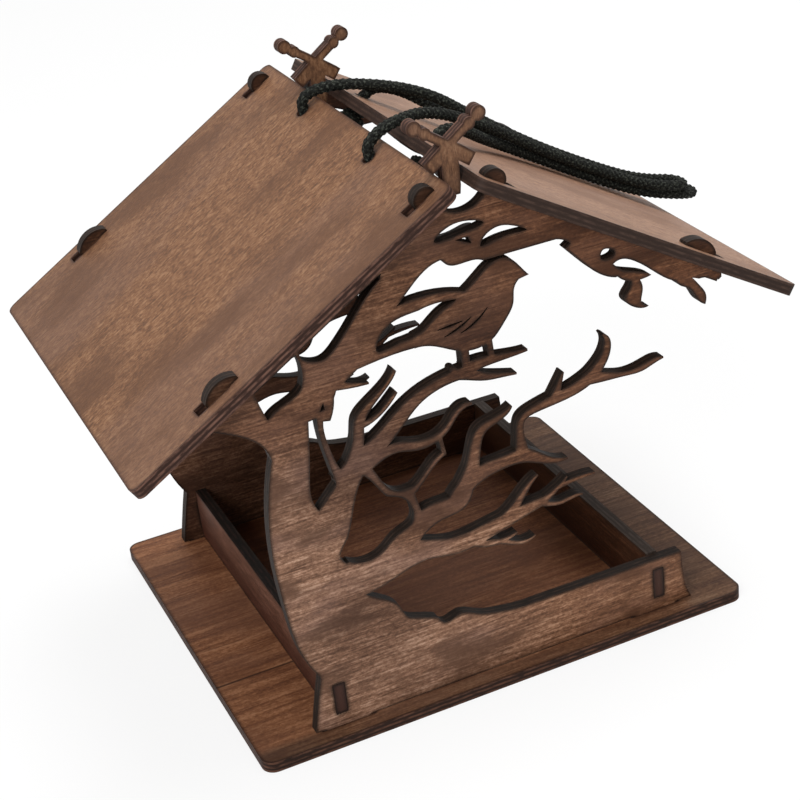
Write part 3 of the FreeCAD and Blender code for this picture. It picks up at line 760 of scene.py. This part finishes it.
def braided_mesh(name: str, lines: list[list[Vector]], radius: float, braid: Braid) -> bpy.types.Object:
    """Makes one mesh of braided tubes, each with rounded ends.

    Args:
        name: Name of the piece.
        lines: Centre line of each tube.
        radius: Radius of the cord over its braid.
        braid: Braid of the cord.

    Returns:
        The new piece, at the origin.
    """
    places: list[Vector] = []
    faces: list[tuple[int, ...]] = []
    marks: list[list[tuple[float, float]]] = []
    for line in lines:
        first = len(places)
        across = None
        along = 0.0
        runs: list[float] = []
        length = sum((b - a).length for a, b in zip(line, line[1:]))
        for number, centre in enumerate(line):
            ahead = line[min(number + 1, len(line) - 1)]
            behind = line[max(number - 1, 0)]
            way = (ahead - behind).normalized()
            if across is None:
                across = way.orthogonal()
            across = (across - way * across.dot(way)).normalized()
            beside = way.cross(across)
            along += (centre - line[number - 1]).length if number else 0.0
            runs.append(along)
            end = min(1.0, (min(along, length - along) + 0.0002) / radius)
            full = math.sqrt(1.0 - (1.0 - end) ** 2)
            for turn in range(braid.around):
                share = turn / braid.around
                reach = full * (radius - braid.relief * (1.0 - braid.height(share, along)))
                angle = 2.0 * math.pi * share
                spoke = across * math.cos(angle) + beside * math.sin(angle)
                places.append(centre + spoke * reach)
        for ring in range(len(line) - 1):
            for turn in range(braid.around):
                beyond = (turn + 1) % braid.around
                low = first + ring * braid.around
                high = low + braid.around
                faces.append((low + turn, low + beyond, high + beyond, high + turn))
                left = turn / braid.around
                right = (turn + 1) / braid.around
                start, end = runs[ring:ring + 2]
                marks.append([(left, start), (right, start), (right, end), (left, end)])
        last = first + (len(line) - 1) * braid.around
        faces.append(tuple(first + turn for turn in reversed(range(braid.around))))
        marks.append([(0.0, 0.0)] * braid.around)
        faces.append(tuple(last + turn for turn in range(braid.around)))
        marks.append([(0.0, runs[-1])] * braid.around)
    mesh = bpy.data.meshes.new(name)
    mesh.from_pydata(places, [], faces)
    sheet = mesh.uv_layers.new(name="braid")
    corner = 0
    for row in marks:
        for u, v in row:
            sheet.data[corner].uv = (u, v)
            corner += 1
    mesh.shade_smooth()
    piece = bpy.data.objects.new(name, mesh)
    bpy.context.collection.objects.link(piece)
    return piece


@dataclass
class StopperKnots:
    """The two stopper knots under one roof panel, each a wound cord end with a short tail."""

    side: Side
    node: str
    top: float = -0.0040
    radius: float = 0.00162
    coil: float = 0.0029
    pitch: float = 0.0031
    turns: float = 2.5
    turn_points: int = 8
    first_drop: float = 0.0018
    braid: Braid = Braid(relief=0.00050, turn=0.0100)

    def route(self, row: Row) -> list[Vector]:
        """Gives the control points of one knot, from the hole down to the end of its tail.

        Args:
            row: Row of the hole.

        Returns:
            The control points.
        """
        down = ROOF.down_slope(self.side)
        across = Vector((0.0, float(row.value), 0.0))

        def at(lift: float, out: float, angle: float) -> Vector:
            """Gives a point by its height and its place around the axis of the hole."""
            axis = ROOF.hole(self.side, row, lift)
            return axis + down * (out * math.cos(angle)) + across * (out * math.sin(angle))

        points = [at(self.top + 0.0012, 0.0, 0.0), at(self.top - 0.0008, 0.0004, 0.0)]
        start = self.top - self.first_drop
        for number in range(int(self.turns * self.turn_points) + 1):
            turned = number / self.turn_points
            points.append(at(start - self.pitch * turned, self.coil, 2.0 * math.pi * turned))
        end = 2.0 * math.pi * self.turns
        low = start - self.pitch * self.turns
        points += [at(low - 0.0010, 0.0016, end + 0.7), at(low - 0.0020, 0.0004, end + 1.2),
                   at(low - 0.0033, 0.0003, end), at(low - 0.0044, 0.0007, 0.0)]
        return points

    def build(self) -> bpy.types.Object:
        """Makes both knots as one piece."""
        lines = [spline_points(self.node + "_line", self.route(row), 10) for row in Row]
        return braided_mesh(self.node.replace("knots", "stopper_knots"), lines, self.radius, self.braid)

    def dress(self, piece: bpy.types.Object, finish: bpy.types.Material) -> None:
        """Gives the knots their finish and their place in the frame.

        Args:
            piece: The knots.
            finish: Material of the cord.
        """
        piece.data.materials.append(finish)
        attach(piece, "house")
        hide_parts(self.node)
        log.info("built %s", piece.name)


@dataclass
class CordLoop:
    """One hanging loop of braided cord, from its rear hole over the right slope to its front hole."""

    side: Side
    node: str
    length: float
    route: list[Vector] = field(default_factory=list)
    diameter: float = 0.0040
    steps: int = 46
    braid: Braid = Braid()

    def build(self) -> tuple[bpy.types.Object, list[Vector]]:
        """Makes the braided cord.

        Returns:
            The cord and the points that it follows.
        """
        line = spline_points(self.node + "_line", self.route, self.steps)
        name = self.node.replace("cord", "braided_cord")
        return braided_mesh(name, [line], self.diameter / 2, self.braid), line

    def dress(self, finish: bpy.types.Material) -> None:
        """Makes the cord and its knots, and gives them their finish and their place in the frame.

        Args:
            finish: Material of the cord.
        """
        piece, line = self.build()
        knots = StopperKnots(self.side, self.node + "_knots")
        tied = knots.build()
        knots.dress(tied, finish)
        piece.data.materials.append(finish)
        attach(piece, "house")
        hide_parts(self.node)
        log.info("built %s", piece.name)


def left_loop() -> CordLoop:
    """Gives the left loop, which lies on top.

    Returns:
        The loop.
    """
    right = Side.RIGHT
    left = Side.LEFT
    return CordLoop(left, "left_cord", 0.331, [
        ROOF.hole(left, Row.REAR, -0.0042), ROOF.hole(left, Row.REAR, 0.00229),
        ROOF.ridge(-0.00754, 0.0275, 0.00309), ROOF.ridge(0.00571, 0.0250, 0.00343),
        ROOF.over(right, 0.024, 0.0206, 0.00985), ROOF.over(right, 0.046, 0.0154, 0.00715),
        ROOF.over(right, 0.068, 0.0118, 0.00565), ROOF.over(right, 0.090, 0.0114, 0.00555),
        ROOF.over(right, 0.108, 0.0114, 0.00620), ROOF.over(right, 0.119, 0.0114, 0.00800),
        ROOF.over(right, 0.1300, 0.0114, 0.01130), ROOF.over(right, 0.1300, 0.0034, 0.01130),
        ROOF.over(right, 0.119, 0.0034, 0.00800), ROOF.over(right, 0.108, 0.0034, 0.00620),
        ROOF.over(right, 0.090, 0.0034, 0.00555), ROOF.over(right, 0.068, 0.0026, 0.00565),
        ROOF.over(right, 0.048, -0.0024, 0.00715), ROOF.over(right, 0.030, -0.0102, 0.00845),
        ROOF.ridge(0.01486, -0.018, 0.00297), ROOF.ridge(0.0, -0.025, 0.00480),
        ROOF.ridge(-0.00823, -0.0277, 0.00297), ROOF.hole(left, Row.FRONT, 0.00229),
        ROOF.hole(left, Row.FRONT, -0.0042),
    ])


def right_loop() -> CordLoop:
    """Gives the right loop, which lies underneath.

    Returns:
        The loop.
    """
    right = Side.RIGHT
    return CordLoop(right, "right_cord", 0.293, [
        ROOF.hole(right, Row.REAR, -0.0042), ROOF.hole(right, Row.REAR, 0.00343),
        ROOF.over(right, 0.018, 0.0274, 0.00674), ROOF.over(right, 0.032, 0.0238, 0.00526),
        ROOF.over(right, 0.050, 0.0176, 0.00354), ROOF.over(right, 0.070, 0.0142, 0.00257),
        ROOF.over(right, 0.092, 0.014, 0.00246), ROOF.over(right, 0.112, 0.014, 0.00320),
        ROOF.over(right, 0.125, 0.014, 0.00571), ROOF.over(right, 0.1375, 0.014, 0.00949),
        ROOF.over(right, 0.1375, 0.006, 0.00949), ROOF.over(right, 0.125, 0.006, 0.00571),
        ROOF.over(right, 0.112, 0.006, 0.00320), ROOF.over(right, 0.092, 0.006, 0.00246),
        ROOF.over(right, 0.070, 0.0054, 0.00257), ROOF.over(right, 0.050, 0.0005, 0.00309),
        ROOF.over(right, 0.033, -0.011, 0.00423), ROOF.over(right, 0.018, -0.023, 0.00617),
        ROOF.hole(right, Row.FRONT, 0.00389), ROOF.hole(right, Row.FRONT, -0.0042),
    ])


@dataclass(frozen=True)
class SoftLamp:
    """One large soft lamp, aimed at the middle of the house."""

    name: str
    place: tuple[float, float, float]
    power: float
    width: float
    colour: Colour = (1.0, 1.0, 1.0)
    aim: tuple[float, float, float] = (0.0, 0.0, 0.09)

    def build(self) -> None:
        """Adds the lamp."""
        way = Vector(self.aim) - Vector(self.place)
        turn = way.to_track_quat("-Z", "Y").to_euler()
        bpy.ops.object.light_add(type="AREA", location=self.place, rotation=turn)
        lamp = bpy.context.object
        lamp.name = self.name
        lamp.data.energy = self.power
        lamp.data.size = self.width
        lamp.data.color = self.colour


@dataclass
class Studio:
    """Pale floor, soft light and the camera."""

    floor_size: float = 8.0
    floor_level: float = -0.0002
    floor_colour: Colour = (0.93, 0.93, 0.93)
    floor_white: float = 0.82
    sky: float = 0.36
    camera_place: tuple[float, float, float] = (-0.20117, -0.52219, 0.36920)
    camera_turn: tuple[float, float, float] = (61.9886, 6.1830, -24.3927)
    camera_angle: float = 25.0025
    lamps: tuple[SoftLamp, ...] = (
        SoftLamp("left_lamp", (-1.0, -0.9, 1.1), 18.0, 0.9),
        SoftLamp("top_lamp", (0.35, 0.15, 1.6), 17.0, 0.9),
        SoftLamp("right_lamp", (0.9, 0.5, 1.5), 2.5, 0.9),
    )

    def seen_white(self, desk: NodeDesk) -> bpy.types.NodeSocket:
        """Gives 1 for rays that show the background: from the camera, off gloss and through glass.

        Args:
            desk: Desk of the floor or the world.

        Returns:
            The share, 0 or 1.
        """
        path = desk.add("ShaderNodeLightPath").outputs
        seen = desk.math("MAXIMUM", path["Is Camera Ray"], path["Is Glossy Ray"])
        return desk.math("MAXIMUM", seen, path["Is Transmission Ray"])

    def build_floor(self) -> None:
        """Adds the floor, which keeps the shadow of the house."""
        bpy.ops.mesh.primitive_plane_add(size=self.floor_size, location=(0.0, 0.0, self.floor_level))
        floor = bpy.context.object
        floor.name = "studio_floor"
        made = bpy.data.materials.new("studio_floor")
        made.use_nodes = True
        desk = NodeDesk(made.node_tree)
        paper = desk.add("ShaderNodeBsdfDiffuse", {"Color": rgba(self.floor_colour)}).outputs[0]
        glow = desk.add("ShaderNodeEmission", {"Strength": 1.0}).outputs[0]
        share = desk.math("MULTIPLY", self.seen_white(desk), self.floor_white)
        mixed = desk.add("ShaderNodeMixShader", {0: share, 1: paper, 2: glow}).outputs[0]
        desk.add("ShaderNodeOutputMaterial", {"Surface": mixed})
        floor.data.materials.append(made)

    def build_sky(self) -> None:
        """Sets the even light of the room, and white where it is seen."""
        world = bpy.data.worlds.new("studio")
        bpy.context.scene.world = world
        world.use_nodes = True
        desk = NodeDesk(world.node_tree)
        strength = desk.math("MAXIMUM", self.seen_white(desk), self.sky)
        room = desk.add("ShaderNodeBackground", {"Color": (1.0, 1.0, 1.0, 1.0), "Strength": strength})
        desk.add("ShaderNodeOutputWorld", {"Surface": room.outputs[0]})

    def build_camera(self) -> None:
        """Adds the camera where the photograph was taken from."""
        turn = [math.radians(angle) for angle in self.camera_turn]
        bpy.ops.object.camera_add(location=self.camera_place, rotation=turn)
        camera = bpy.context.object
        camera.name = "camera"
        camera.data.sensor_fit = "HORIZONTAL"
        camera.data.lens_unit = "FOV"
        camera.data.angle = math.radians(self.camera_angle)
        camera.data.clip_start = 0.01
        bpy.context.scene.camera = camera

    def build(self) -> None:
        """Builds the whole studio."""
        self.build_camera()
        self.build_floor()
        self.build_sky()
        for lamp in self.lamps:
            lamp.build()
        bpy.context.scene.view_settings.view_transform = "Standard"
        log.info("built the studio")


def main() -> None:
    """Builds the studio, the cords and the boards' finishes."""
    logging.basicConfig(level=logging.INFO, format="%(message)s")
    bpy.ops.object.select_all(action="DESELECT")
    Studio().build()
    finish = CordFinish().material()
    for loop in (left_loop(), right_loop()):
        loop.dress(finish)
    PlywoodBoards().dress()


if __name__ == "__main__":
    main()
